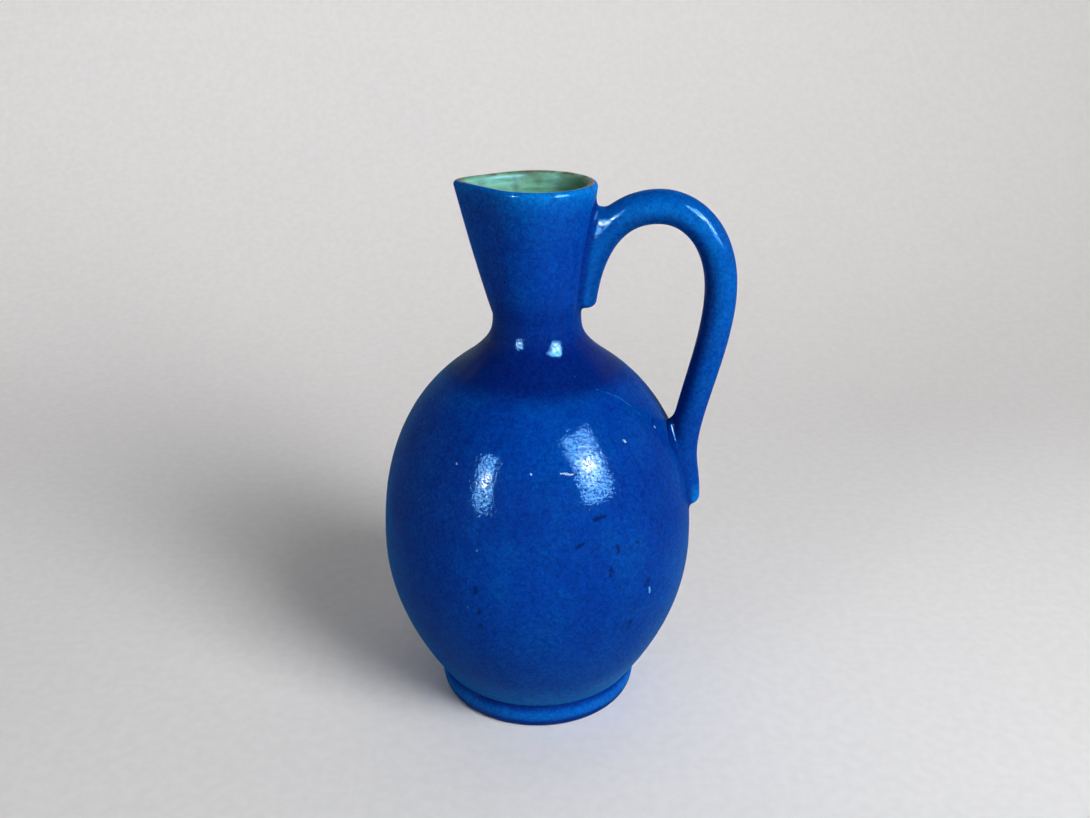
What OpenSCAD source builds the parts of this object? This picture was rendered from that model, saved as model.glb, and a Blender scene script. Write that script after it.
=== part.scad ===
// Ceramic pitcher with a pinched spout and a coil handle, in millimetres.
// The foot stands on z = 0, the handle points along +X and the spout along -X.

/* [Belly] */
// Largest outer radius of the belly
belly_radius = 71.2; // [66:0.2:76]
// Height of the widest level of the belly
belly_level = 80.4; // [74:0.2:86]
// Thickness of the thrown wall of the belly
belly_wall = 5; // [4:0.5:6]
// Thickness of the floor inside the belly
floor_thickness = 7; // [5:0.5:9]
// Height where the round shoulder turns into the hollow of the neck
shoulder_level = 165.9; // [163:0.2:168]
// Outer radius at that turn
shoulder_radius = 32.1; // [30:0.2:35]

/* [Foot ring] */
// Largest outer radius of the foot ring
foot_radius = 47; // [43:0.5:48]
// Height of the foot ring
foot_height = 13; // [10:0.5:15]
// Width of the foot ring from its inside to its roll
foot_width = 9; // [7:0.5:12]

/* [Neck and spout] */
// Outer radius of the narrowest place of the neck
waist_radius = 19.3; // [18:0.1:22]
// Height of the narrowest place, where the neck is joined to the belly
waist_level = 186.7; // [183:0.1:190]
// Height of the crest of the lip
pitcher_height = 244; // [236:0.5:252]
// Outer radius of the mouth on the handle side
rim_radius = 25.6; // [24:0.1:28]
// Thickness of the neck wall and of the lip
neck_wall = 4; // [3:0.25:5]
// How far the spout is drawn out of the round mouth
spout_pull = 9.7; // [5:0.1:12]
// How much the mouth is squeezed in at both sides, as a share of its radius
side_squeeze = 0.03; // [0:0.01:0.08]

/* [Handle] */
// Distance of the outermost point of the handle from the axis
handle_reach = 85.4; // [82:0.1:92]
// Thickness of the handle, seen from the side, at the top of the arch
handle_thickness = 14.5; // [12:0.1:16]
// Width of the handle across the coil
handle_width = 15; // [12:0.1:17]
// Distance of the top of the arch from the axis
arch_distance = 52; // [49:0.5:56]
// How far the top of the arch stays below the crest of the lip
arch_drop = 2; // [1:0.5:6]
// How far the outermost point of the handle lies below the top of the arch
bow_drop = 36; // [30:0.2:44]
// Height of the upper end of the handle above the waist of the neck
root_rise = 7.6; // [5:0.2:10]
// Height of the lower end of the handle on the belly
end_level = 103; // [98:0.5:108]
// Height of the stretch above that end that lies on the belly
end_length = 23.3; // [20:0.1:26]
// Radius of the clay smoothed into the corner around the upper joint of the handle
root_joint = 4.0; // [3:0.1:4]
// Radius of the clay smoothed into the corner around the lower joint
end_joint = 3.1; // [2:0.1:4]

/* [Glaze] */
// Thickness of the green glaze that lines the inside
lining = 0.7; // [0.5:0.1:1]

/* [Hidden] */
$fn = 96;
lip_level = pitcher_height - neck_wall / 2;
floor_level = foot_height + floor_thickness;
// Depth of the groove above the foot ring and overhang of the belly over the ring
groove = 1.2;
overhang = 0.4;
belly_start = foot_radius + overhang;
// Rounding of the lower outer edge of the foot ring, and bevel of its lower inner edge
foot_edge = 3;
foot_bevel = 1.5;
// How far out and up the wall keeps its first direction above the foot ring
start_out = 7.2;
start_up = 11;
// How far the wall stays steep below and above the widest level of the belly
low_swell = 31.5;
high_swell = 38;
// How far out and down the slope of the shoulder keeps its direction
shoulder_out = 28.3;
shoulder_down = 19.2;
// Width and height of the rounded corner between the floor and the wall inside
corner_width = 16;
corner_height = 9;
// Height of the tongue that joins the two lengths of the lining, and its setback from each face
tongue = 0.5;
lap = 0.1;
neck_sides = 64;
neck_steps = 8;
lip_steps = 6;
coil_sides = 28;
// Depth to which the edge of a smoothed joint dips into the wall before it is trimmed,
// and depth over which the smoothing fades out inside the wall
joint_depth = 0.3;
joint_fade = 3;

// Point at t on a cubic curve with end points a, d and handles b, c
function curve(a, b, c, d, t) =
    pow(1 - t, 3) * a + 3 * pow(1 - t, 2) * t * b + 3 * (1 - t) * t * t * c + t * t * t * d;

// Direction of the same curve at t
function heading(a, b, c, d, t) =
    let (v = pow(1 - t, 2) * (b - a) + 2 * (1 - t) * t * (c - b) + t * t * (d - c)) v / norm(v);

// The three curves of the outer wall, each a row of points [radius, height]
rise = [
    [belly_start, foot_height],
    [belly_start + start_out, foot_height + start_up],
    [belly_radius, belly_level - low_swell],
    [belly_radius, belly_level]];
dome = [
    [belly_radius, belly_level],
    [belly_radius, belly_level + high_swell],
    [shoulder_radius + shoulder_out, shoulder_level - shoulder_down],
    [shoulder_radius, shoulder_level]];
hollow_in = shoulder_radius - waist_radius;
hollow_up = waist_level - shoulder_level;
hollow = [
    [shoulder_radius, shoulder_level],
    [waist_radius + 0.05 * hollow_in, shoulder_level + 0.45 * hollow_up],
    [waist_radius, waist_level - 0.35 * hollow_up],
    [waist_radius, waist_level]];

// Wall thickness at height z
function wall_at(z) =
    belly_wall + (neck_wall - belly_wall)
    * min(1, max(0, (z - shoulder_level) / (waist_level - shoulder_level)));

// Points of one wall curve, moved inwards by a depth that can change with height
function inset(p, steps, first, depth) = [
    for (i = [first : steps])
        let (
            t = i / steps,
            q = curve(p[0], p[1], p[2], p[3], t),
            h = heading(p[0], p[1], p[2], p[3], t))
        q - depth(q[1]) * [h[1], -h[0]]];

no_depth = function(z) 0;
clay_depth = function(z) wall_at(z);
glaze_depth = function(z) wall_at(z) + lining;

// Whole wall line from the groove to the waist at a given depth
function wall_line(depth) = concat(
    inset(rise, 14, 0, depth), inset(dome, 18, 1, depth), inset(hollow, 10, 1, depth));

outer_line = wall_line(no_depth);

// Inside line: the flat floor, a rounded corner and the wall above it
function inside_line(depth, level) =
    let (
        up = [for (p = wall_line(depth)) if (p[1] > level + corner_height) p],
        foot = up[0])
    concat(
        [[0, level]],
        [for (i = [0 : 6])
            curve(
                [foot[0] - corner_width, level],
                [foot[0] - 0.44 * corner_width, level],
                [foot[0] - 0.16 * corner_width, level + 0.44 * corner_height],
                foot,
                i / 6)],
        [for (i = [1 : len(up) - 1]) up[i]]);

clay_inside = inside_line(clay_depth, floor_level);
glaze_inside = inside_line(glaze_depth, floor_level + lining);

function backwards(line) = [for (i = [len(line) - 1 : -1 : 0]) line[i]];

// Outer radius of the round neck and draw of the spout at a share u of the neck height
function neck_radius(u) = waist_radius + (rim_radius - waist_radius) * pow(u, 1.08);
function draw_at(u) = spout_pull * pow(u, 0.8);

// Outer radius of belly or neck at height z, leaving out the spout
radius_table = [for (p = outer_line) [p[1], p[0]]];
function body_radius(z) =
    z < waist_level
    ? lookup(z, radius_table)
    : neck_radius(min(1, (z - waist_level) / (lip_level - waist_level)));

// One ring of the neck: a circle of radius r with a beak drawn out by pull
function mouth(r, pull, u, z) = [
    for (k = [0 : neck_sides - 1])
        let (
            a = 360 * k / neck_sides,
            off = abs(180 - a),
            soft = 7 + 18 * (1 - u),
            flank = asin(r / (r + pull)) - soft,
            reach = r / sin(min(90, flank + sqrt(off * off + soft * soft))),
            pinch = 1 - side_squeeze * u * pow(sin(a), 2))
        [reach * pinch * cos(a), reach * pinch * sin(a), z]];

// Rings of the neck wall at one depth, from the waist up to the lip
function side_rings(depth) = [
    for (i = [0 : neck_steps])
        let (u = i / neck_steps)
        mouth(neck_radius(u) - depth, draw_at(u), u, waist_level + u * (lip_level - waist_level))];

// Rings of one face of the neck lining; its lower edge is a tongue inside the lining of the belly
function lining_rings(depth, nudge) = concat(
    [mouth(waist_radius - depth - nudge, 0, 0, waist_level - tongue)],
    [mouth(waist_radius - depth - nudge, 0, 0, waist_level)],
    [for (i = [1 : neck_steps]) side_rings(depth)[i]]);

function lip_rings(from, to) = [
    for (i = [1 : lip_steps - 1])
        let (
            a = 180 * i / lip_steps,
            middle = (from + to) / 2,
            half = (to - from) / 2)
        mouth(rim_radius - middle + half * cos(a), draw_at(1), 1, lip_level + half * sin(a))];

// Triangles between rings of n points; the rings close on themselves when loop is true
function skin(rings, n, loop) = [
    for (i = [0 : rings - (loop ? 1 : 2)], k = [0 : n - 1], half = [0, 1])
        let (
            a = i * n + k,
            b = i * n + (k + 1) % n,
            c = ((i + 1) % rings) * n + (k + 1) % n,
            d = ((i + 1) % rings) * n + k)
        half == 0 ? [a, c, b] : [a, d, c]];

module shell(rings) {
    points = [for (ring = rings) for (p = ring) p];
    polyhedron(points, skin(len(rings), len(rings[0]), true), convexity = 6);
}

module plug(rings) {
    n = len(rings[0]);
    last = (len(rings) - 1) * n;
    points = [for (ring = rings) for (p = ring) p];
    low = [for (k = [0 : n - 1]) k];
    high = [for (k = [n - 1 : -1 : 0]) last + k];
    polyhedron(points, concat(skin(len(rings), n, false), [low], [high]), convexity = 6);
}

// Half thickness of the coil at the root, the arch, the bow, the first touch and the tail,
// as a share of the arch
fullness = [0.9, 1, 0.945, 0.86, 0.77];
// Centre line of the handle, points [distance from axis, height]
arch_level = pitcher_height - arch_drop - handle_thickness / 2;
root_level = waist_level + root_rise;
bow_distance = handle_reach - fullness[2] * handle_thickness / 2;
bow_level = arch_level - bow_drop;
touch_level = end_level + end_length;
// Distance of the centre line from the wall at the root, at the first touch and at the tail
root_stand = 0.2;
touch_stand = 2.5;
tail_stand = -0.5;
root = [body_radius(root_level) + root_stand, root_level];
arch = [arch_distance, arch_level];
bow = [bow_distance, bow_level];
touch = [body_radius(touch_level) + touch_stand, touch_level];
tail = [body_radius(end_level) + tail_stand, end_level];
root_to_arch = arch - root;
arch_to_bow = bow - arch;
bow_to_touch = touch - bow;
spans = [
    [root, root + [0.06 * root_to_arch[0], 0.6 * root_to_arch[1]], arch - [0.56 * root_to_arch[0], 0], arch],
    [arch, arch + [0.52 * arch_to_bow[0], 0], bow - [0, 0.64 * arch_to_bow[1]], bow],
    [bow, bow + [0, 0.345 * bow_to_touch[1]], touch - [0, 0.258 * bow_to_touch[1]], touch],
    [touch, touch - [0, 0.365 * end_length], tail + [-0.026, 0.42] * end_length, tail]];
span_steps = [20, 12, 20, 12];
// Length of the rounded tip at the root and at the tail
root_tip = 4;
tail_tip = 5;

// Distance of a point from the outer wall of belly and neck, and the way straight out of it
function wall_slope(z) = (body_radius(z + 1) - body_radius(z - 1)) / 2;
function wall_gap(p) = (norm([p[0], p[1]]) - body_radius(p[2])) / sqrt(1 + pow(wall_slope(p[2]), 2));
function wall_way(p) =
    let (v = [p[0] / norm([p[0], p[1]]), p[1] / norm([p[0], p[1]]), -wall_slope(p[2])]) v / norm(v);

// Moves a point of the coil, whose outward way is n, onto the hollow of the smoothed joint;
// in the crotch, where coil and wall meet at a sharp angle, the hollow reaches further
function smoothed(p, n, crotch) =
    let (
        gap = wall_gap(p),
        w = wall_way(p),
        m = max(-0.75, min(0.75, n * w)),
        sharp = 4 * (1 - sqrt((1 + m) / 2)),
        radius = p[2] > bow_level - 0.5 * bow_drop ? root_joint : end_joint,
        spread = radius * (m < 0 ? 1.17 + (sharp - 1.17) * crotch : sharp),
        depth = spread / 2,
        share = (gap + depth) / (spread + depth),
        fade = max(0, 1 + (gap + depth) / joint_fade),
        off_coil = spread * (share > 0 ? pow(1 - share, 2) : fade),
        off_wall = (share > 0 ? spread * share * share + joint_depth * share : gap + depth) - joint_depth,
        x = (off_coil - m * (off_wall - gap)) / (1 - m * m),
        y = (off_wall - gap - m * off_coil) / (1 - m * m),
        q = p + x * n + y * w)
    share >= 1 || gap < -depth - joint_fade ? p : q + (off_wall - wall_gap(q)) * wall_way(q);

// One ring of the coil around p with direction h, scaled by size, with its normals tilted by lean
function coil_ring(p, h, size, lean) = [
    for (k = [0 : coil_sides - 1])
        let (
            a = 360 * k / coil_sides,
            out = size * handle_thickness / 2 * cos(a),
            side = size * handle_width / 2 * sin(a),
            q = p + out * [h[1], -h[0]],
            facing = [cos(a) / handle_thickness, sin(a) / handle_width],
            v = facing / norm(facing),
            n = cos(lean) * [v[0] * h[1], -v[1], -v[0] * h[0]] + sin(lean) * [h[0], 0, h[1]])
        smoothed([q[0], -side, q[1]], n, pow(cos(a), 2))];

// Rounded end of the coil, from the tip to the full section
function end_rings(p, h, size, length, way) = [
    for (i = [0 : 6])
        let (
            t = way > 0 ? 7 - i : i + 1,
            angle = 12.5 * t,
            tip = p - way * length * pow(sin(angle), 0.8) * h)
        coil_ring(tip, h, size * pow(cos(angle), 0.8), -way * angle)];

function span_point(c, t) = curve(c[0], c[1], c[2], c[3], t);
function span_heading(c, t) = heading(c[0], c[1], c[2], c[3], t);

coil_rings = concat(
    end_rings(root, span_heading(spans[0], 0), fullness[0], root_tip, 1),
    [for (s = [0 : 3], i = [s == 0 ? 0 : 1 : span_steps[s]])
        let (
            t = i / span_steps[s],
            size = fullness[s] + (fullness[s + 1] - fullness[s]) * t)
        coil_ring(span_point(spans[s], t), span_heading(spans[s], t), size, 0)],
    end_rings(tail, span_heading(spans[3], 1), fullness[4], tail_tip, -1));

module foot_ring() {
    color([0.05, 0.32, 0.62])
        rotate_extrude()
            polygon(concat(
                [[foot_radius - foot_width, foot_height], [foot_radius - foot_width, foot_bevel]],
                [[foot_radius - foot_width + foot_bevel, 0], [foot_radius - foot_edge, 0]],
                [for (i = [0 : 10])
                    curve(
                        [foot_radius - 0.8 * foot_edge, 0],
                        [foot_radius + 0.1 * foot_edge, 0.2 * foot_edge],
                        [foot_radius + 0.3 * foot_edge, foot_height * 0.75],
                        [foot_radius - groove, foot_height],
                        i / 10)]));
}

module belly() {
    color([0.03, 0.22, 0.58])
        rotate_extrude()
            polygon(concat([[0, foot_height]], outer_line, backwards(clay_inside)));
}

module neck() {
    color([0.04, 0.27, 0.62])
        shell(concat(side_rings(0), lip_rings(0, neck_wall), backwards(side_rings(neck_wall))));
}

// Filled outline of belly and neck, used to seat the handle
module belly_body() {
    rotate_extrude()
        polygon(concat([[0, foot_height]], outer_line, [[0, waist_level]]));
}

module neck_body() {
    plug(side_rings(0));
}

module handle() {
    color([0.05, 0.36, 0.72])
        difference() {
            plug(coil_rings);
            belly_body();
            neck_body();
        }
}

module inside_glaze() {
    color([0.52, 0.74, 0.6]) {
        rotate_extrude()
            polygon(concat(clay_inside, backwards(glaze_inside)));
        shell(concat(lining_rings(neck_wall, lap), backwards(lining_rings(neck_wall + lining, -lap))));
    }
}

foot_ring();
belly();
neck();
handle();
inside_glaze();
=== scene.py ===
# Blue crackle-glazed pitcher: thrown belly and neck, coil handle, foot ring and green inside glaze.
import math

import bpy
import numpy as np
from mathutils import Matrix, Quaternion, Vector


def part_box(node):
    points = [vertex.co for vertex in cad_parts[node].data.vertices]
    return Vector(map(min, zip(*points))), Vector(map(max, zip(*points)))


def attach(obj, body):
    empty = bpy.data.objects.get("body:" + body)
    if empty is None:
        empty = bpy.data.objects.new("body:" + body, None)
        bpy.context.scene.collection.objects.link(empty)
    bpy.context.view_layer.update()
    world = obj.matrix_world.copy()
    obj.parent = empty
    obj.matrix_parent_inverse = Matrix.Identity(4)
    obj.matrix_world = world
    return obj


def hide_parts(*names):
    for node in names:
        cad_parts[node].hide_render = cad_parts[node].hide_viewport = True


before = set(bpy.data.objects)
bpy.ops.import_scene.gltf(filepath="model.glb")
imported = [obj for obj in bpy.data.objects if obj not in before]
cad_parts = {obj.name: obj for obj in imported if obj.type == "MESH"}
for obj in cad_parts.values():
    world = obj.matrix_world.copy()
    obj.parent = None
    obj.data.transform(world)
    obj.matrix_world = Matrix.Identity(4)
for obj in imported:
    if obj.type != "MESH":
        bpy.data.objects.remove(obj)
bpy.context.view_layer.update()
print("frame loaded:", ", ".join(sorted(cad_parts)))

mm = 0.001  # shapes below are in millimetres, objects in metres
viewTurn = math.radians(7)  # the photo looks along +Y, turned this far


def boxInMm(node):
    low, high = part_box(node)
    return np.array(low) / mm, np.array(high) / mm


neckLow, neckHigh = boxInMm("neck")
footHigh, bellyHigh, handleHigh = [boxInMm(node)[1] for node in ("foot_ring", "belly", "handle")]

footTop = footHigh[2]
waistLevel = bellyHigh[2]


# Shared shape helpers

def cubic(points, t):
    a, b, c, d = [np.array(p, float) for p in points]
    t = np.asarray(t, float)[..., None]
    return (1 - t) ** 3 * a + 3 * (1 - t) ** 2 * t * b + 3 * (1 - t) * t * t * c + t ** 3 * d


def cubicHeading(points, t):
    a, b, c, d = [np.array(p, float) for p in points]
    t = np.asarray(t, float)[..., None]
    way = (1 - t) ** 2 * (b - a) + 2 * (1 - t) * t * (c - b) + t * t * (d - c)
    return way / np.linalg.norm(way, axis=-1, keepdims=True)


def smoothStep(low, high, x):
    t = np.clip((np.asarray(x, float) - low) / (high - low), 0, 1)
    return t * t * (3 - 2 * t)


def fadeOut(low, high, x):
    return 1 - smoothStep(low, high, x)


# Glaze marks given as a share and the two limits between which it grows or fades
def growing(limits, x):
    share, low, high = limits
    return share * smoothStep(low, high, x)


def fading(limits, x):
    share, low, high = limits
    return share * fadeOut(low, high, x)


# Marks on each piece: teal thin glaze together with painted reflection and highlight, painted shade, and
# bare clay
def glazeMarks(thin, paintedShade, bare):
    return {"thinGlazeAndPaintedLight": thin, "paintedShadeMark": paintedShade, "bareClay": bare}


def linkPiece(name, mesh):
    piece = bpy.data.objects.new(name, mesh)
    bpy.context.scene.collection.objects.link(piece)
    return piece


# Skins a row of rings with quads; a pole closes an end to a point, and loop joins the last ring to the first
def ringPiece(name, rings, poles=False, loop=False, marks=None, sharpAngle=50):
    rings = np.array(rings, float)
    count, sides = rings.shape[:2]
    points = rings.reshape(-1, 3)
    marks = {k: np.array(v, float).reshape(-1) for k, v in (marks or {}).items()}
    faces = []
    for i in range(count if loop else count - 1):
        j = (i + 1) % count
        for k in range(sides):
            m = (k + 1) % sides
            faces.append((i * sides + k, i * sides + m, j * sides + m, j * sides + k))
    if poles:
        first, last = len(points), len(points) + 1
        points = np.vstack([points, rings[0].mean(0), rings[-1].mean(0)])
        base = (count - 1) * sides
        for k in range(sides):
            m = (k + 1) % sides
            faces.append((first, m, k))
            faces.append((last, base + k, base + m))
        marks = {k: np.append(v, [v[0], v[-1]]) for k, v in marks.items()}
    mesh = bpy.data.meshes.new(name)
    mesh.from_pydata((points * mm).tolist(), [], faces)
    mesh.polygons.foreach_set("use_smooth", [True] * len(mesh.polygons))
    mesh.set_sharp_from_angle(angle=math.radians(sharpAngle))
    for mark, values in marks.items():
        layer = mesh.attributes.new(mark, "FLOAT", "POINT")
        layer.data.foreach_set("value", values.astype(np.float32))
    mesh.validate()
    mesh.update()
    return linkPiece(name, mesh)


# The thrown wall: outer profile of belly and hollow, from the groove of the foot up to the waist
wall = {
    "bellyRadius": bellyHigh[0],
    "bellyLevel": 80.4,
    "clayBelly": 5.0,
    "clayNeck": 4.0,
    "floorLevel": 20.0,
    "shoulderRadius": 32.1,
    "shoulderLevel": 165.9,
    "startRadius": 47.4,
    "waistRadius": 19.3,
    "glazeDepth": 0.7,
    "startPull": (7.2, 11),  # a pull is how far the inner point of a curve lies from its end
    "bellyPull": (31.5, 38),  # below and above the widest level
    "shoulderPull": (28.3, 19.2),
    "hollowPull": (0.05, 0.45),  # as shares of the hollow's width and height
    "waistPull": 0.35,
    "rows": (44, 96, 30),  # up the rise, the dome and the hollow
    "sides": 288,
}

riseCurve = [
    (wall["startRadius"], footTop),
    (wall["startRadius"] + wall["startPull"][0], footTop + wall["startPull"][1]),
    (wall["bellyRadius"], wall["bellyLevel"] - wall["bellyPull"][0]),
    (wall["bellyRadius"], wall["bellyLevel"]),
]
domeCurve = [
    (wall["bellyRadius"], wall["bellyLevel"]),
    (wall["bellyRadius"], wall["bellyLevel"] + wall["bellyPull"][1]),
    (wall["shoulderRadius"] + wall["shoulderPull"][0], wall["shoulderLevel"] - wall["shoulderPull"][1]),
    (wall["shoulderRadius"], wall["shoulderLevel"]),
]
hollowIn = wall["shoulderRadius"] - wall["waistRadius"]
hollowUp = waistLevel - wall["shoulderLevel"]
hollowCurve = [
    (wall["shoulderRadius"], wall["shoulderLevel"]),
    (wall["waistRadius"] + wall["hollowPull"][0] * hollowIn,
     wall["shoulderLevel"] + wall["hollowPull"][1] * hollowUp),
    (wall["waistRadius"], waistLevel - wall["waistPull"] * hollowUp),
    (wall["waistRadius"], waistLevel),
]

# Flaring neck with its pinched spout
neck = {
    "rimRadius": neckHigh[0],
    "lipLevel": neckHigh[2] - wall["clayNeck"] / 2,
    "spoutPull": -neckLow[0] - neckHigh[0],
    "sideSqueeze": 0.03,
    "tipSoft": 7.0,
    "footSoft": 18.0,
    "flare": 1.08,
    "drawFlare": 0.8,
    "lipThin": ((0.45, 4, -0.5), (0.28, 10, 3), (0.14, 26, 9)),  # share, start and end below the lip
    "spoutShade": (0.45, -26, 2),  # painted shade: share of the rim band kept at the spout, and where along X it grows to all of it
    "spoutEdge": (0.16, -19, -27),
    "waistShade": (0.5, waistLevel, waistLevel + 12),
    "lipWear": (0.46, 0.10),  # middle of the worn line on the way over the lip, and its half width
    "wearFade": (-14, -4),
    "rows": 72,
    "lipRows": 28,
    "innerRows": 24,
}


def neckShare(z):
    return np.clip((z - waistLevel) / (neck["lipLevel"] - waistLevel), 0, 1)


def neckRadius(share):
    return wall["waistRadius"] + (neck["rimRadius"] - wall["waistRadius"]) * share ** neck["flare"]


# Profile of the outside, or of a face as deep in the wall as depth says for a level
def profilePoints(depth=None):
    line = []
    for points, steps in zip((riseCurve, domeCurve, hollowCurve), wall["rows"]):
        t = np.linspace(0, 1, steps + 1)
        spot, way = cubic(points, t), cubicHeading(points, t)
        if depth:
            spot = spot - depth(spot[:, 1])[:, None] * np.stack([way[:, 1], -way[:, 0]], 1)
        line.append(spot if not line else spot[1:])
    return np.vstack(line)


outerLine = profilePoints()


def bodyRadius(z):
    z = np.asarray(z, float)
    below = np.interp(z, outerLine[:, 1], outerLine[:, 0])
    return np.where(z < waistLevel, below, neckRadius(neckShare(z)))


# Unevenness left by the hand; a wave has a height, a count round the wall, a rise and a start
handMarks = {
    "wobble": 0.16,
    "waves": ((0.5, 2, 29, 0.7), (0.34, 3, -19, 2.1), (0.28, 5, 12.5, 4.0), (0.24, 4, -8.7, 1.2)),
    "throwingRings": 0.012,
    "fineRings": {"pitch": 0.93, "sway": 0.6, "start": 0.4},
    "coarseRings": {"pitch": 1.71, "height": 0.7, "start": 1.1},
    "calmFoot": 14,
    "calmLip": 9,
}


# How far the wall stands out at an angle and a level; it fades out at the groove and the lip
def handTouch(angle, z):
    slow = sum(height * np.sin(count * angle + z / rise + start)
               for height, count, rise, start in handMarks["waves"])
    fine, coarse = handMarks["fineRings"], handMarks["coarseRings"]
    rings = np.sin(z / fine["pitch"] + fine["sway"] * np.sin(angle + fine["start"]))
    rings = rings + coarse["height"] * np.sin(z / coarse["pitch"] + coarse["start"])
    calm = smoothStep(footTop, footTop + handMarks["calmFoot"], z)
    calm = calm * fadeOut(neck["lipLevel"] - handMarks["calmLip"], neck["lipLevel"], z)
    return (handMarks["wobble"] * slow + handMarks["throwingRings"] * rings) * calm


def revolve(line, touch):
    angle = np.arange(wall["sides"]) * 2 * math.pi / wall["sides"]
    r = line[:, 0][:, None] + touch * handTouch(angle[None, :], line[:, 1][:, None])
    z = np.repeat(line[:, 1][:, None], len(angle), 1)
    return np.stack([r * np.cos(angle), r * np.sin(angle), z], 2)


# A level row of points from one radius to another
def levelLine(fromRadius, toRadius, level, rows):
    return np.stack([np.linspace(fromRadius, toRadius, rows), np.full(rows, level)], 1)


def clayAt(z):
    share = np.clip((z - wall["shoulderLevel"]) / hollowUp, 0, 1)
    return wall["clayBelly"] + (wall["clayNeck"] - wall["clayBelly"]) * share


# Floor inside and the round corner between it and the wall
floorShape = {
    "middle": 2,  # radius of the first ring round the axis
    "rows": 14,
    "cornerRise": 9,
    "cornerWidth": 16,
    "cornerPull": 7,
    "cornerLean": (2.6, 4),
    "cornerGap": 2,
    "cornerRows": 12,
}


# Line from the middle of the floor round its corner and up the inside
def insideLine(extra, level):
    line = profilePoints(lambda z: clayAt(z) + extra)
    up = line[line[:, 1] > level + floorShape["cornerRise"]]
    x, z = up[0]
    start = x - floorShape["cornerWidth"]
    lean, lift = floorShape["cornerLean"]
    bend = [(start, level), (x - floorShape["cornerPull"], level), (x - lean, level + lift), (x, z)]
    corner = cubic(bend, np.linspace(0, 1, floorShape["cornerRows"]))
    floor = levelLine(floorShape["middle"], start - floorShape["cornerGap"], level, floorShape["rows"])
    return np.vstack([floor, corner, up[1:]])


# Belly with its flat underside, closed inside behind the lining; limits of the glaze are levels or facings
belly = {
    "underRows": 16,
    "underGap": 0.5,
    "grooveLift": (0.12, 0.35),
    "footThinAndReflection": (0.66, footTop, 36),
    "lowThinAndReflection": (0.12, 40, 80),
    "flankReflection": (0.2, 20, 36),
    "flankFade": (64, 110),
    "flankFacing": (0.6, 0.97),
    "shoulderShade": (156, 165),
    "waistClear": (0.6, 172, 186),
    "lowShade": (0.55, 25, 108),
    "rightShade": 0.22,
    "rightTurn": 0.35,
    "rightFacing": (0.6, 0.98),
}


def makeBelly():
    underEdge = wall["startRadius"] - belly["underGap"]
    under = levelLine(floorShape["middle"], underEdge, footTop, belly["underRows"])
    outer = outerLine.copy()
    outer[0] = (wall["startRadius"] + belly["grooveLift"][0], footTop + belly["grooveLift"][1])
    inner = insideLine(0, wall["floorLevel"])[::-1]
    rings = np.concatenate([revolve(under, 0), revolve(outer, 1), revolve(inner, 0)])
    z = rings[:, :, 2]
    turn = np.arctan2(rings[:, :, 1], rings[:, :, 0])
    outside = np.zeros(z.shape)
    outside[len(under):len(under) + len(outer)] = 1
    flank = smoothStep(*belly["flankFacing"], np.abs(np.cos(turn - viewTurn)))
    right = smoothStep(*belly["rightFacing"], np.cos(turn + belly["rightTurn"]))
    # Teal of thin glaze near the foot and low on the belly, together with a painted floor reflection
    thin = fading(belly["footThinAndReflection"], z) + fading(belly["lowThinAndReflection"], z)
    # Painted reflection: teal on the flanks square to the view
    thin = (thin + flank * growing(belly["flankReflection"], z) * fadeOut(*belly["flankFade"], z)) * outside
    # Painted shade: darker ring on the shoulder hollow, clearing towards the waist
    paintedShade = smoothStep(*belly["shoulderShade"], z) * (1 - growing(belly["waistClear"], z))
    # Painted shade: darker towards the bottom
    paintedShade = np.maximum(paintedShade, fading(belly["lowShade"], z))
    # Painted shade: darker on the right side
    paintedShade = np.maximum(paintedShade, belly["rightShade"] * right) * outside
    return ringPiece("belly_shell", rings, poles=True, marks=glazeMarks(thin, paintedShade, 0 * paintedShade))


# Foot ring: a rounded roll under the groove, on a bare bearing face
footRing = {
    "radius": 47.0,
    "width": 9.0,
    "edge": 3.0,
    "bevel": 1.5,
    "groove": 1.2,
    "rollStart": 0.8,  # these three in edges, but the second of rollOver in heights of the foot
    "rollUnder": (0.1, 0.2),
    "rollOver": (0.3, 0.75),
    "hemPull": 0.5,
    "step": 0.6,  # gaps between the last point of one stretch and the first of the next
    "cornerStep": 0.4,
    "bevelStep": 0.2,
    "rows": {"roll": 40, "top": 10, "inside": 8, "hem": 8, "flat": 6},
    "rollThinAndHighlight": (0.47, 2.5, 6),
    "rollThinAndHighlightEnd": (7.5, 10.5),
    "lowShade": (2.0, 5.6),
    "grooveShade": (0.9, 9.5, 12),
    "bareLevel": (0.5, 1.2),
    "bareEdge": (0.85, 0.5),
}


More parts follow.
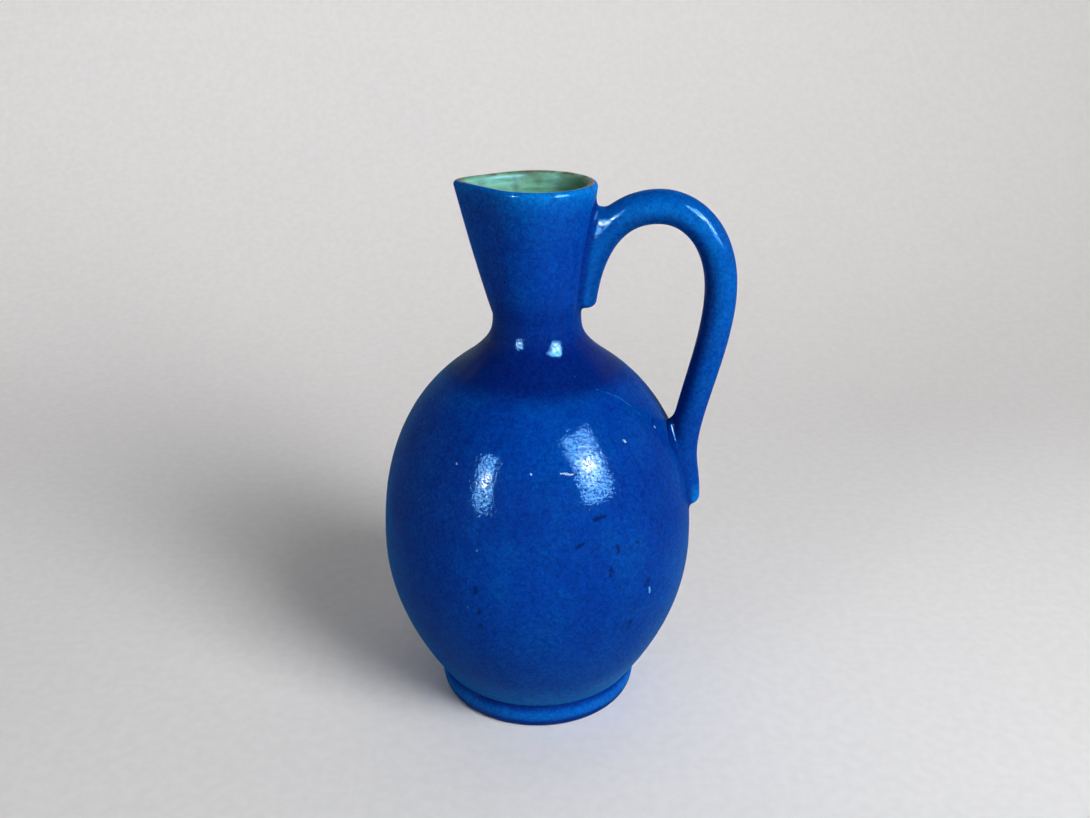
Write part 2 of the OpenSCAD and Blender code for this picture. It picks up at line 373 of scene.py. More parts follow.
def makeFootRing():
    r, edge, bevel, step = footRing["radius"], footRing["edge"], footRing["bevel"], footRing["step"]
    corner, pull, rows = footRing["cornerStep"], footRing["hemPull"], footRing["rows"]
    inner, groove = r - footRing["width"], r - footRing["groove"]
    rollStart = r - footRing["rollStart"] * edge
    under, over = footRing["rollUnder"], footRing["rollOver"]
    swell = [(rollStart, 0), (r + under[0] * edge, under[1] * edge),
             (r + over[0] * edge, over[1] * footTop), (groove, footTop)]
    roll = cubic(swell, np.linspace(0, 1, rows["roll"]))
    top = levelLine(groove - step, inner + corner, footTop, rows["top"])
    levels = np.linspace(footTop - corner, bevel + footRing["bevelStep"], rows["inside"])
    inside = np.stack([np.full(rows["inside"], inner), levels], 1)
    hem = cubic([(inner, bevel), (inner, pull), (inner + pull, 0), (inner + bevel, 0)],
                np.linspace(0, 1, rows["hem"]))
    flat = levelLine(inner + bevel + step, r - edge, 0, rows["flat"])
    rings = revolve(np.vstack([flat, roll, top, inside, hem]), 0)
    z = rings[:, :, 2]
    radius = np.hypot(rings[:, :, 0], rings[:, :, 1])
    outside = smoothStep(r - edge, rollStart, radius)
    # Teal band on the roll: thin glaze on its crest together with a painted highlight
    thin = outside * growing(footRing["rollThinAndHighlight"], z) * fadeOut(*footRing["rollThinAndHighlightEnd"], z)
    # Painted shade: darker at the bottom edge and in the groove under the belly
    paintedShade = outside * np.maximum(fadeOut(*footRing["lowShade"], z), growing(footRing["grooveShade"], z))
    bareStart, bareEnd = [r - part * edge for part in footRing["bareEdge"]]
    bare = fadeOut(*footRing["bareLevel"], z) * fadeOut(bareStart, bareEnd, radius)
    return ringPiece("foot_roll", rings, loop=True, marks=glazeMarks(thin, paintedShade, bare))


# One ring of the neck: a circle with a beak drawn out towards -X
def mouthRing(radius, pull, share, z, sides):
    angle = np.arange(sides) * 360 / sides
    off = np.abs(180 - angle)
    soft = neck["tipSoft"] + neck["footSoft"] * (1 - share)
    flank = math.degrees(math.asin(radius / (radius + pull))) - soft
    reach = radius / np.sin(np.radians(np.minimum(90, flank + np.sqrt(off ** 2 + soft ** 2))))
    pinch = 1 - neck["sideSqueeze"] * share * np.sin(np.radians(angle)) ** 2
    turn = np.radians(angle)
    return np.stack([reach * pinch * np.cos(turn), reach * pinch * np.sin(turn), np.full(sides, z)], 1)


def pullAt(share):
    return neck["spoutPull"] * share ** neck["drawFlare"]


def neckSide(depth, rows, touch):
    rings = []
    for share in np.linspace(0, 1, rows):
        z = waistLevel + share * (neck["lipLevel"] - waistLevel)
        ring = mouthRing(neckRadius(share) - depth, pullAt(share), share, z, wall["sides"])
        if touch:
            turn = np.arctan2(ring[:, 1], ring[:, 0])
            grow = 1 + handTouch(turn, z) / np.hypot(ring[:, 0], ring[:, 1])
            ring[:, :2] *= grow[:, None]
        rings.append(ring)
    return rings


# Rings over the lip, from one angle to another about the middle of the wall
def lipRings(size, fromAngle, toAngle, rows):
    rings = []
    for turn in np.radians(np.linspace(fromAngle, toAngle, rows)):
        thick = size(turn) if callable(size) else size
        radius = neck["rimRadius"] - wall["clayNeck"] / 2 + thick * math.cos(turn)
        level = neck["lipLevel"] + thick * math.sin(turn)
        rings.append(mouthRing(radius, pullAt(1), 1, level, wall["sides"]))
    return rings


def makeNeck():
    outer = neckSide(0, neck["rows"], True)
    lip = lipRings(wall["clayNeck"] / 2, 0, 180, neck["lipRows"])[1:-1]
    inner = neckSide(wall["clayNeck"], neck["innerRows"], False)[::-1]
    rings = np.array(outer + lip + inner)
    x, y, z = rings[:, :, 0], rings[:, :, 1], rings[:, :, 2]
    outside = np.zeros(z.shape)
    outside[:len(outer)] = 1
    overLip = np.zeros(len(rings))  # 0 outside, 1 inside
    overLip[len(outer):len(outer) + len(lip)] = np.linspace(0, 1, len(lip) + 2)[1:-1]
    overLip[len(outer) + len(lip):] = 1
    crest = np.repeat(overLip[:, None], wall["sides"], 1)
    left, spoutStart, spoutEnd = neck["spoutShade"]
    thin = sum(growing(limits, neck["lipLevel"] - z) for limits in neck["lipThin"])
    # Painted shade: the rim band is kept darker on the spout side
    thin = np.maximum(thin, (crest > 0) * 1.0) * (left + growing((1 - left, spoutStart, spoutEnd), x))
    thin = np.maximum(thin, growing(neck["spoutEdge"], x) * outside)
    # Painted shade: darker at the foot of the neck, carrying on the shoulder's shade
    paintedShade = outside * fading(neck["waistShade"], z)
    middle, spread = neck["lipWear"]
    bare = np.clip(1 - np.abs(crest - middle) / spread, 0, 1) * smoothStep(*neck["wearFade"], y)
    return ringPiece("neck_spout", rings, loop=True, marks=glazeMarks(thin, paintedShade, bare))


# Coil handle, sunk into neck and belly with clay smoothed into the corners
handle = {
    "reach": handleHigh[0],
    "archTop": handleHigh[2],
    "thickness": 14.5,
    "width": 15.0,
    "archDistance": 52.0,
    "bowDrop": 36.0,
    "rootLevel": waistLevel + 7.6,
    "endLevel": 103.0,
    "endLength": 23.3,
    "rootStand": -0.5,  # a stand is how far the middle of the coil lies off the wall
    "touchStand": 2.5,
    "tailStand": -0.5,
    "rootPull": (0.09, 0.62),  # pulls as shares of the span that they lie on
    "archPull": (0.57, 0.52),
    "bowPull": (0.64, 0.345),
    "touchPull": (0.258, 0.365),
    "tailPull": (0.026, 0.42),
    "rootTip": 4.0,
    "tailTip": 5.0,
    "tipTurn": 88,
    "tipRound": 0.8,
    "rootJoint": 2.6,
    "endJoint": 2.9,
    "jointSplit": 165.0,
    "jointDip": 0.06,
    "jointFade": 3.0,
    "steepest": 0.75,
    "flatSpread": 1.17,
    "deepest": 1.2,
    "webLevel": 233.8,
    "webLargest": 7.0,
    "webSlope": 0.15,
    "webSoft": 1.5,
    "webStart": -6,
    "webRidge": 4,
    "webFull": 3,
    "sides": 72,
    "spanRings": (90, 60, 100, 60),
    "tipRings": 14,
    "fullness": (0.9, 1.0, 0.945, 0.86, 0.77),
}
coilTurn = np.arange(handle["sides"]) * 2 * math.pi / handle["sides"]


def wallAt(points):
    angle, z = np.arctan2(points[:, 1], points[:, 0]), points[:, 2]
    pinch = 1 - neck["sideSqueeze"] * neckShare(z) * np.sin(angle) ** 2
    return bodyRadius(z) * pinch + handTouch(angle, z)


def wallSlope(z):
    return (bodyRadius(z + 1) - bodyRadius(z - 1)) / 2


def wallGap(points):
    off = np.hypot(points[:, 0], points[:, 1]) - wallAt(points)
    return off / np.sqrt(1 + wallSlope(points[:, 2]) ** 2)


def wallWay(points):
    r = np.hypot(points[:, 0], points[:, 1])
    way = np.stack([points[:, 0] / r, points[:, 1] / r, -wallSlope(points[:, 2])], 1)
    return way / np.linalg.norm(way, axis=1, keepdims=True)


# Lays the skin of the coil into a hollow where it meets the wall; alike is 1 where both face the same way
def smoothJoint(points, out, crotch):
    gap, way = wallGap(points), wallWay(points)
    dip, fadeDepth, flat = handle["jointDip"], handle["jointFade"], handle["flatSpread"]
    alike = np.clip((out * way).sum(1), -handle["steepest"], handle["steepest"])
    sharp = 4 * (1 - np.sqrt((1 + alike) / 2))
    radius = np.where(points[:, 2] > handle["jointSplit"], handle["rootJoint"], handle["endJoint"])
    spread = radius * np.where(alike < 0, flat + (sharp - flat) * crotch, sharp)
    depth = spread / 2
    share = (gap + depth) / (spread + depth)
    fade = np.maximum(0, 1 + (gap + depth) / fadeDepth)
    near = share > 0
    offCoil = spread * np.where(near, (1 - share) ** 2, fade)
    offWall = np.where(near, spread * share ** 2 + dip * share, gap + depth) - dip
    outward = (offCoil - alike * (offWall - gap)) / (1 - alike * alike)
    wallward = (offWall - gap - alike * offCoil) / (1 - alike * alike)
    moved = points + outward[:, None] * out + wallward[:, None] * way
    moved = moved + (offWall - wallGap(moved))[:, None] * wallWay(moved)
    keep = (share >= 1) | (gap < -depth - fadeDepth)
    moved = np.where(keep[:, None], points, moved)
    sunk = np.maximum(0, -handle["deepest"] - wallGap(moved))
    return moved + sunk[:, None] * wallWay(moved)


# One ring of the coil; web draws its side towards the neck out into a ridge
def coilRing(spot, way, size, lean, web=0.0):
    ridge = web * np.maximum(0, -np.cos(coilTurn)) ** handle["webRidge"]
    out = size * handle["thickness"] / 2 * np.cos(coilTurn) - ridge
    side = size * handle["width"] / 2 * np.sin(coilTurn)
    facing = np.stack([np.cos(coilTurn) / handle["thickness"], np.sin(coilTurn) / handle["width"]], 1)
    facing /= np.linalg.norm(facing, axis=1, keepdims=True)
    points = np.stack([spot[0] + out * way[1], -side, spot[1] - out * way[0]], 1)
    normal = math.cos(lean) * np.stack(
        [facing[:, 0] * way[1], -facing[:, 1], -facing[:, 0] * way[0]], 1)
    normal = normal + math.sin(lean) * np.array([way[0], 0, way[1]])
    return smoothJoint(points, normal, np.cos(coilTurn) ** 2 * (1 - min(1, web / handle["webFull"])))


# How far the clay pressed into the crotch above the root lifts the upper side of a ring
def webAt(spot, way, size):
    inner = spot[1] + size * handle["thickness"] / 2 * way[0]
    short = (handle["webLevel"] - inner) / max(way[0], handle["webSlope"])
    lifted = (short + math.sqrt(short ** 2 + handle["webSoft"])) / 2
    return min(handle["webLargest"], lifted) if short > handle["webStart"] else 0.0


# Middle line of the coil, as distance from the axis and level: root, arch, bow, touch and tail
def handleSpans():
    archLevel = handle["archTop"] - handle["thickness"] / 2
    touchLevel = handle["endLevel"] + handle["endLength"]
    root = np.array([bodyRadius(handle["rootLevel"]) + handle["rootStand"], handle["rootLevel"]])
    arch = np.array([handle["archDistance"], archLevel])
    bow = np.array([handle["reach"] - handle["fullness"][2] * handle["thickness"] / 2,
                    archLevel - handle["bowDrop"]])
    touch = np.array([bodyRadius(touchLevel) + handle["touchStand"], touchLevel])
    tail = np.array([bodyRadius(handle["endLevel"]) + handle["tailStand"], handle["endLevel"]])
    up, over, down, end = arch - root, bow - arch, touch - bow, handle["endLength"]
    rootPull, archPull, bowPull = handle["rootPull"], handle["archPull"], handle["bowPull"]
    touchPull, tailPull = handle["touchPull"], handle["tailPull"]
    return [
        [root, root + [rootPull[0] * up[0], rootPull[1] * up[1]], arch - [archPull[0] * up[0], 0], arch],
        [arch, arch + [archPull[1] * over[0], 0], bow - [0, bowPull[0] * over[1]], bow],
        [bow, bow + [0, bowPull[1] * down[1]], touch - [0, touchPull[0] * down[1]], touch],
        [touch, touch - [0, touchPull[1] * end], tail + [-tailPull[0] * end, tailPull[1] * end], tail],
    ]


def tipRings(spot, way, size, length, direction):
    rings = []
    steps = np.linspace(0, 1, handle["tipRings"] + 1)[1:]
    for step in (steps[::-1] if direction > 0 else steps):
        lean = math.radians(handle["tipTurn"]) * step
        centre = spot - direction * length * math.sin(lean) ** handle["tipRound"] * way
        rings.append(coilRing(centre, way, size * math.cos(lean) ** handle["tipRound"], -direction * lean))
    return rings


# Limits along the coil run from 0 at the root to 1 at the tail, facings from 1 into the loop to -1 out of it
handleGlaze = {
    "thin": 0.1,
    "upperThin": (0.32, 0.45, 0.68),
    "tailThin": (0.75, 0.93, 1.0),
    "archHighlight": (0.28, 0.12, 0.24),
    "archEnd": (0.34, 0.48),
    "archStrip": (-0.1, 0.4),  # painted highlight strip: facing of its middle, and its breadth
    "thinGap": (0.2, 3.0),  # gaps to the wall
    "seamShade": (0.6, 0.3, 3.5),
    "lowShade": (0.22, 0.55, 0.75),
    "lowShadeEnd": (0.9, 0.96),
    "innerShade": 0.55,
    "innerMore": (0.3, 0.3, 0.5),
    "innerFacing": (0, 0.78),
    "outerShade": (0.25, 0.5, 1),
    "edgeEnd": (0.88, 0.95),
}


def makeHandle():
    spans, full, glaze = handleSpans(), handle["fullness"], handleGlaze
    rings = tipRings(spans[0][0], cubicHeading(spans[0], 0.0), full[0], handle["rootTip"], 1)
    along = [0.0] * len(rings)
    for index, (points, steps) in enumerate(zip(spans, handle["spanRings"])):
        for t in np.linspace(0, 1, steps + 1)[(0 if index == 0 else 1):]:
            size = full[index] + (full[index + 1] - full[index]) * t
            spot, way = cubic(points, t), cubicHeading(points, t)
            rings.append(coilRing(spot, way, size, 0, webAt(spot, way, size) if index == 0 else 0.0))
            along.append((index + t) / len(spans))
    tail = tipRings(spans[3][3], cubicHeading(spans[3], 1.0), full[4], handle["tailTip"], -1)
    rings, along = np.array(rings + tail), np.array(along + [1.0] * len(tail))
    gap = wallGap(rings.reshape(-1, 3)).reshape(rings.shape[:2])
    share = np.repeat(along[:, None], handle["sides"], 1)
    facing = np.cos(coilTurn)[None, :]
    middle, breadth = glaze["archStrip"]
    strip = np.exp(-((facing - middle) / breadth) ** 2)
    thin = glaze["thin"] + fading(glaze["upperThin"], share) + growing(glaze["tailThin"], share)
    # Painted highlight: lighter strip along the top of the arch
    thin = thin + strip * growing(glaze["archHighlight"], share) * fadeOut(*glaze["archEnd"], share)
    thin = thin * smoothStep(*glaze["thinGap"], gap)
    # Painted shade: darker where the coil meets the wall, and along the lower handle
    paintedShade = fading(glaze["seamShade"], gap)
    paintedShade = np.maximum(paintedShade, growing(glaze["lowShade"], share) * fadeOut(*glaze["lowShadeEnd"], share))
    # Painted shade: darker along the inner and outer sides of the coil
    inner = glaze["innerShade"] + growing(glaze["innerMore"], share)
    edges = inner * smoothStep(*glaze["innerFacing"], facing) + growing(glaze["outerShade"], -facing)
    edges = edges * fadeOut(*glaze["edgeEnd"], share)
    paintedShade = np.maximum(paintedShade, edges)
    return ringPiece("coil_handle", rings, poles=True, marks=glazeMarks(np.clip(thin, 0, 1), paintedShade, 0 * paintedShade))


# Green glaze inside, carried up over the inner half of the lip
lining = {
    "rows": 48,
    "lipRows": (20, 12),  # on its face and on its back
    "lipAngles": (179, 88),
    "crestThick": 0.05,
    "crestGrow": 1.5,
    "sunk": 0.03,
    "wornLevel": (0.9, 1.95),
    "wornFade": (-12, -2),
}


def makeLining():
    depth, half = wall["glazeDepth"], wall["clayNeck"] / 2
    thick = lining["crestThick"]
    (start, end), (faceRows, backRows) = lining["lipAngles"], lining["lipRows"]

    def growth(turn):
        return half + thick + (depth - thick) * max(0, turn / math.pi * 2 - 1) ** lining["crestGrow"]

    face = revolve(insideLine(depth, wall["floorLevel"] + depth), 0)
    neckFace = neckSide(wall["clayNeck"] + depth, lining["rows"], False)[1:]
    lipFace = lipRings(growth, start, end, faceRows)
    lipBack = lipRings(half - lining["sunk"], end, start, backRows)
    neckBack = neckSide(wall["clayNeck"], neck["innerRows"], False)[::-1]
    back = revolve(insideLine(0, wall["floorLevel"])[::-1], 0)[1:]
    rings = np.array(list(face) + neckFace + lipFace + lipBack + neckBack + list(back))
    low, high = [neck["lipLevel"] + rise for rise in lining["wornLevel"]]
    crest = smoothStep(low, high, rings[:, :, 2]) * smoothStep(*lining["wornFade"], rings[:, :, 1])
    return ringPiece("inside_lining", rings, poles=True, marks={"crest": crest})


# Materials

def addNode(tree, kind, inputs=None, **settings):
    made = tree.nodes.new(kind)
    for key, value in settings.items():
        setattr(made, key, value)
    for key, value in (inputs or {}).items():
        if isinstance(value, bpy.types.NodeSocket):
            tree.links.new(value, made.inputs[key])
        else:
            made.inputs[key].default_value = value
    return made


def newMaterial(name):
    material = bpy.data.materials.new(name)
    material.use_nodes = True
    tree = material.node_tree
    tree.nodes.clear()
    output = addNode(tree, "ShaderNodeOutputMaterial")
    shader = addNode(tree, "ShaderNodeBsdfPrincipled")
    tree.links.new(shader.outputs[0], output.inputs[0])
    return material, tree, shader


# Sockets 6 and 7 take the two colours, and output 2 gives the mix
def mixColour(tree, share, first, second, blend="MIX"):
    made = addNode(tree, "ShaderNodeMix", data_type="RGBA", blend_type=blend)
    for index, value in ((0, share), (6, first), (7, second)):
        if isinstance(value, bpy.types.NodeSocket):
            tree.links.new(value, made.inputs[index])
        elif index == 0:
            made.inputs[index].default_value = value
        else:
            made.inputs[index].default_value = (*value, 1)
    return made.outputs[2]


def ramp(tree, value, fromLow, fromHigh, toLow=0.0, toHigh=1.0, kind="SMOOTHSTEP"):
    made = addNode(tree, "ShaderNodeMapRange", {
        "Value": value, "From Min": fromLow, "From Max": fromHigh, "To Min": toLow, "To Max": toHigh},
        interpolation_type=kind)
    return made.outputs[0]


def maths(tree, operation, first, second=0.0):
    return addNode(tree, "ShaderNodeMath", {0: first, 1: second}, operation=operation).outputs[0]


def noise(tree, place, scale, detail=2.0, rough=0.5):
    return addNode(tree, "ShaderNodeTexNoise", {
        "Vector": place, "Scale": scale, "Detail": detail, "Roughness": rough}).outputs


def mark(tree, name):
    return addNode(tree, "ShaderNodeAttribute", attribute_name=name).outputs["Fac"]


# Blue crackle glaze over the clay. Patches have the scale, detail and roughness of a noise, then the limits
# it is cut to and what it becomes there, if not 0 and 1. Marks run from one place on the wall to another:
# angle, level, angle, level, then how far they reach sideways
blueGlaze = {
    "blue": (0.0004, 0.0435, 0.318),
    "deepBlue": (0.0004, 0.0325, 0.256),
    "tealBlue": (0.0004, 0.058, 0.295),
    "thinBlueAndPaintedLight": (0.001, 0.156, 0.56),
    "paintedShadeBlue": (0.0004, 0.0085, 0.118),
    "clay": (0.30, 0.20, 0.13),
    "pitDark": (0.0004, 0.008, 0.06),
    "chipPale": (0.06, 0.38, 0.62),
    "scuffAndGlintWhite": (0.42, 0.60, 0.80),
    "clouds": {"noise": (22, 4, 0.6), "limits": (0.35, 0.68)},
    "runs": {"noise": (320, 2, 0.6), "limits": (0.3, 0.7, -0.25, 0.25)},
    "runStretch": (1, 1, 0.1),
    "teal": {"noise": (45, 5, 0.65), "limits": (0.42, 0.7, 0, 0.6)},
    "uneven": {"noise": (60, 3), "limits": (0.2, 0.6, 0.75, 1)},
    "paintedShadeShare": 0.85,
    "crackleSize": 3.8,
    "fineSize": 1.5,
    "crackleWidth": 0.09,
    "fineWidth": 0.28,
    "crackleBend": (120, 2.2),
    "crackleShade": 0.13,
    "fineShade": 0.08,
    "cellShade": (-0.09, 0.12),
    "grit": {"noise": (900, 2), "limits": (0.3, 0.7, -0.08, 0.08)},
    "brightest": 1.05,
    "crackleHue": 1.6,  # how much more the green of the glaze varies than the rest
    "markBend": (700, 1.6),
    "patchy": {"noise": (900, 3, 0.6), "limits": (0.3, 0.5)},
    "specksPerMetre": 90.0,
    "speckSize": (0.03, 0.07),
    "darkSpecks": 0.86,  # specks above this chance are dark, and above the next pale
    "paleSpecks": 0.93,
    "paleShare": 0.45,
    "pitSpread": (0.0, 2.4),
    "pitShare": 0.85,
    "scuffAndGlintShare": (0.35, 0.9),
    "hairShare": 0.3,
    "worn": {"noise": (300, 3), "limits": (0.3, 0.7, -0.35, 0.35)},
    "bareLimits": (0.45, 0.7),
    "sparkle": {"noise": (1000, 3, 0.65), "limits": (0.37, 0.63, 0.013, 0.145)},
    "hollowShine": (0.6, 0.9, 1, 1.9),  # limits of the painted shade mark, and how many times the shine there
    "coatBending": 1.5,
    "coatRoughness": 0.05,
    "sheen": 0.12,
    "sheenRoughness": 0.3,
    "sheenTint": (0.15, 1.0, 0.8),
    "roughness": 0.08,
    "clayRoughness": 0.5,
    "gloss": {"noise": (350, 2), "limits": (0.3, 0.7, 0.0, 0.05)},
    "peelNoise": (700, 2),
    "peelHeight": 0.6,
    "crackDepth": 0.15,
    "pitDepth": 0.2,
    "bump": (0.18, 0.4),  # strength, and depth in mm
    "pits": (
        (-62, 118, -58.5, 119, 0.8), (-69, 108, -67, 109, 0.8), (-54.5, 105, -53.5, 102, 0.7),
        (-57, 93, -56.8, 95.5, 0.8), (-42, 82, -41, 84, 0.9), (-46, 104, -45.6, 104, 0.6),
        (-48.5, 63, -47.5, 66, 0.7), (-104, 86, -104, 88.5, 0.7), (-103, 76, -103, 78, 0.6),
        (-103, 69, -102.5, 70, 0.6), (-16.5, 144, -15, 144.5, 0.7), (-103, 125, -102.6, 128, 0.5)),
    "chips": ((-40, 77, -40.2, 80, 0.6),),
    "scuffsAndGlints": (
        (-73.5, 137.2, -68.5, 136.4, 0.4), (-85, 137, -85, 137.3, 0.5), (-41, 144, -40.5, 143.5, 0.6),
        (-117, 137, -117, 137.3, 0.4), (-17, 142, -17, 142.4, 0.6)),
    "hairlines": (
        (-41, 162, -29, 157, 0.25), (-29, 157, -22, 149, 0.25), (-48, 172, -52, 167, 0.22),
        (-30, 135, -30, 130, 0.25)),
}


def wallSpot(angle, level):
    turn = math.radians(angle)
    radius = float(bodyRadius(level))
    return Vector((radius * math.cos(turn), radius * math.sin(turn), level)) * mm


def vectorMaths(tree, operation, first, second=(0, 0, 0), out=0):
    made = addNode(tree, "ShaderNodeVectorMath", {0: first, 1: second}, operation=operation)
    return made.outputs[out]


# Strongest share, 0 to 1, of a row of marks at a place on the glaze
def markShare(tree, place, marks, inner=0.35, outer=1.15):
    share = None
    for angle, level, lastAngle, lastLevel, reach in marks:
        start, end = wallSpot(angle, level), wallSpot(lastAngle, lastLevel)
        way = end - start
        off = vectorMaths(tree, "SUBTRACT", place, start)
        along = vectorMaths(tree, "DOT_PRODUCT", off, way / max(way.length_squared, 1e-12), out=1)
        along = addNode(tree, "ShaderNodeClamp", {0: along}).outputs[0]
        back = addNode(tree, "ShaderNodeVectorMath", {0: way, "Scale": along}, operation="SCALE").outputs[0]
        distance = vectorMaths(tree, "DISTANCE", off, back, out=1)
        near = ramp(tree, distance, inner * reach * mm, outer * reach * mm, 1, 0)
        share = near if share is None else maths(tree, "MAXIMUM", share, near)
    return share


def makeBlueGlaze():
    material, tree, shader = newMaterial("blue_crackle_glaze")
    place = addNode(tree, "ShaderNodeTexCoord").outputs["Object"]

    def patches(name, where=place):
        patch = blueGlaze[name]
        return ramp(tree, noise(tree, where, *patch["noise"])["Fac"], *patch["limits"])

    def plus(first, second):
        return maths(tree, "ADD", first, second)

    def times(first, second):
        return maths(tree, "MULTIPLY", first, second)

    def shifted(scale, distance):
        drift = vectorMaths(tree, "SUBTRACT", noise(tree, place, scale)["Color"], (0.5, 0.5, 0.5))
        far = vectorMaths(tree, "MULTIPLY", drift, [distance * mm] * 3)
        return vectorMaths(tree, "ADD", place, far)

    bent, ragged = shifted(*blueGlaze["crackleBend"]), shifted(*blueGlaze["markBend"])

    def voronoi(size, feature):
        return addNode(tree, "ShaderNodeTexVoronoi", {"Vector": bent, "Scale": 1 / (size * mm)},
                       feature=feature).outputs

    crack = voronoi(blueGlaze["crackleSize"], "DISTANCE_TO_EDGE")["Distance"]
    fine = voronoi(blueGlaze["fineSize"], "DISTANCE_TO_EDGE")["Distance"]
    cell = voronoi(blueGlaze["fineSize"], "F1")["Color"]
    crackLine = ramp(tree, crack, 0, blueGlaze["crackleWidth"], 1, 0)
    fineLine = ramp(tree, fine, 0, blueGlaze["fineWidth"], 1, 0)
    cellTone = addNode(tree, "ShaderNodeSeparateColor", {0: cell}).outputs[0]

    # Clouds, runs down the wall, teal thin glaze on edges mixed with painted reflection and highlight, and
    # painted shade in hollows, creases, low down and on sides away from the light
    run = addNode(tree, "ShaderNodeMapping", {"Vector": place, "Scale": blueGlaze["runStretch"]}).outputs[0]
    runs = patches("runs", run)
    tone = plus(patches("clouds"), runs)
    tone = addNode(tree, "ShaderNodeClamp", {0: tone}).outputs[0]
    colour = mixColour(tree, tone, blueGlaze["deepBlue"], blueGlaze["blue"])
    colour = mixColour(tree, patches("teal"), colour, blueGlaze["tealBlue"])
    uneven = patches("uneven")
    # Teal of thin glaze, also used as painted reflection on the low belly and flanks and as painted
    # highlight on the foot roll and handle arch
    colour = mixColour(tree, times(mark(tree, "thinGlazeAndPaintedLight"), uneven), colour, blueGlaze["thinBlueAndPaintedLight"])
    # Painted shade: darker blue in the shoulder hollow, in creases, low down and on sides away from the
    # light
    thick = times(mark(tree, "paintedShadeMark"), blueGlaze["paintedShadeShare"])
    colour = mixColour(tree, thick, colour, blueGlaze["paintedShadeBlue"])

    # Crackle lines and cells of slightly different depth
    dim = plus(times(crackLine, blueGlaze["crackleShade"]), times(fineLine, blueGlaze["fineShade"]))
    dim = plus(dim, ramp(tree, cellTone, 0, 1, *blueGlaze["cellShade"], "LINEAR"))
    dim = plus(dim, patches("grit"))
    light = maths(tree, "SUBTRACT", blueGlaze["brightest"], dim)
    greener = maths(tree, "POWER", light, blueGlaze["crackleHue"])
    veil = addNode(tree, "ShaderNodeCombineColor", {0: light, 1: greener, 2: light}).outputs[0]
    colour = mixColour(tree, 1.0, colour, veil, "MULTIPLY")

    # Specks all round the wall, then the larger marks one by one
    speck = addNode(tree, "ShaderNodeTexVoronoi", {
        "Vector": ragged, "Scale": blueGlaze["specksPerMetre"]}).outputs
    chance = addNode(tree, "ShaderNodeSeparateColor", {0: speck["Color"]}).outputs
    dot = ramp(tree, speck["Distance"], *blueGlaze["speckSize"], 1, 0)
    darkDot = times(dot, maths(tree, "GREATER_THAN", chance[0], blueGlaze["darkSpecks"]))
    paleDot = times(dot, maths(tree, "GREATER_THAN", chance[1], blueGlaze["paleSpecks"]))
    patchy = patches("patchy")
    pits = times(markShare(tree, ragged, blueGlaze["pits"], *blueGlaze["pitSpread"]), patchy)
    pits = maths(tree, "MAXIMUM", pits, darkDot)
    colour = mixColour(tree, times(pits, blueGlaze["pitShare"]), colour, blueGlaze["pitDark"])
    chips = markShare(tree, ragged, blueGlaze["chips"])
    chips = maths(tree, "MAXIMUM", chips, times(paleDot, blueGlaze["paleShare"]))
    colour = mixColour(tree, chips, colour, blueGlaze["chipPale"])
    # Pale marks: the long one is a scratch, the small ones are painted glints
    scuffsAndGlints = markShare(tree, ragged, blueGlaze["scuffsAndGlints"])
    scuffsAndGlints = times(scuffsAndGlints, ramp(tree, patchy, 0, 1, *blueGlaze["scuffAndGlintShare"]))
    colour = mixColour(tree, scuffsAndGlints, colour, blueGlaze["scuffAndGlintWhite"])
    hairs = times(markShare(tree, bent, blueGlaze["hairlines"]), blueGlaze["hairShare"])
    colour = mixColour(tree, hairs, colour, blueGlaze["chipPale"])
    broken = patches("worn")
    bare = ramp(tree, plus(mark(tree, "bareClay"), broken), *blueGlaze["bareLimits"])
    colour = mixColour(tree, bare, colour, blueGlaze["clay"])
    tree.links.new(colour, shader.inputs["Base Color"])

    # All the shine comes from the clear skin of the glaze
    shader.inputs["Specular IOR Level"].default_value = 0.0
    sparkle = patches("sparkle")
    glassy = ramp(tree, mark(tree, "paintedShadeMark"), *blueGlaze["hollowShine"])
    tree.links.new(times(sparkle, glassy), shader.inputs["Coat Weight"])
    shader.inputs["Coat IOR"].default_value = blueGlaze["coatBending"]
    shader.inputs["Coat Roughness"].default_value = blueGlaze["coatRoughness"]
    shader.inputs["Sheen Weight"].default_value = blueGlaze["sheen"]
    shader.inputs["Sheen Roughness"].default_value = blueGlaze["sheenRoughness"]
    shader.inputs["Sheen Tint"].default_value = (*blueGlaze["sheenTint"], 1)
    gloss = plus(blueGlaze["roughness"], times(bare, blueGlaze["clayRoughness"]))
    gloss = plus(gloss, patches("gloss"))
    tree.links.new(gloss, shader.inputs["Roughness"])
    peel = times(noise(tree, place, *blueGlaze["peelNoise"])["Fac"], blueGlaze["peelHeight"])
    height = maths(tree, "SUBTRACT", peel, times(crackLine, blueGlaze["crackDepth"]))
    height = maths(tree, "SUBTRACT", height, times(pits, blueGlaze["pitDepth"]))
    strength, depth = blueGlaze["bump"]
    bump = addNode(tree, "ShaderNodeBump", {"Strength": strength, "Distance": depth * mm, "Height": height})
    tree.links.new(bump.outputs[0], shader.inputs["Normal"])
    tree.links.new(bump.outputs[0], shader.inputs["Coat Normal"])
    return material


